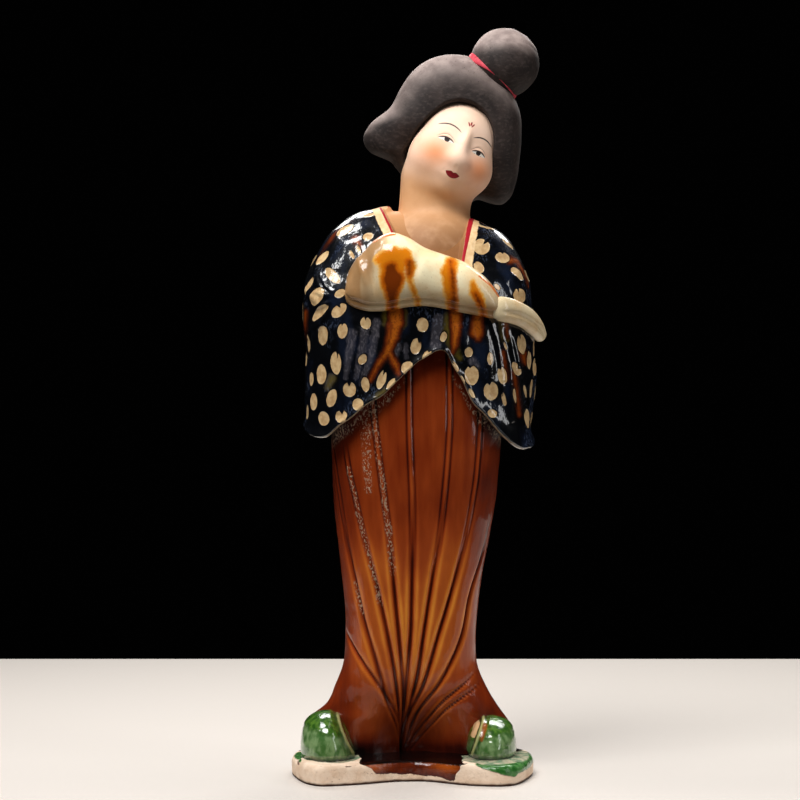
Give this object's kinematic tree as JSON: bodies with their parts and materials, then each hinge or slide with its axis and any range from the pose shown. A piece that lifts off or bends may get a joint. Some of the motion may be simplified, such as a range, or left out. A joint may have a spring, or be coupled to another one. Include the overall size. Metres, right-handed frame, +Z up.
{
  "type": "glazed earthenware figure of a standing court lady",
  "caption": "Standing lady with tilted head, rolled hair and side bun, spotted blue robe, folded cream sleeves, pleated amber skirt and upturned green shoes on a low two-lobed base.",
  "frame": {"origin": "centre of the base's underside, on what the figure stands on", "axes": "+Z up; the robe's front faces -Y; +X is the side that the head leans to and that the bun is on"},
  "size_m": [0.153, 0.1134, 0.45],
  "materials": {
    "amber_glaze": "glossy amber brown lead glaze, pooled dark in the grooves",
    "blue_glaze": "glossy blue-black glaze with bare cream spots and amber streaks",
    "cream_glaze": "soft cream glaze with amber drips",
    "green_glaze": "glossy mottled copper green glaze",
    "bare_clay": "matt fired clay with runs of glaze over its edge",
    "painted_flesh": "matt cold paint",
    "painted_hair": "matt dark brown-black cold paint",
    "painted_ribbon": "matt rose red cold paint"
  },
  "bodies": {
    "root": {"court_lady": "amber_glaze"}
  },
  "joints": []
}
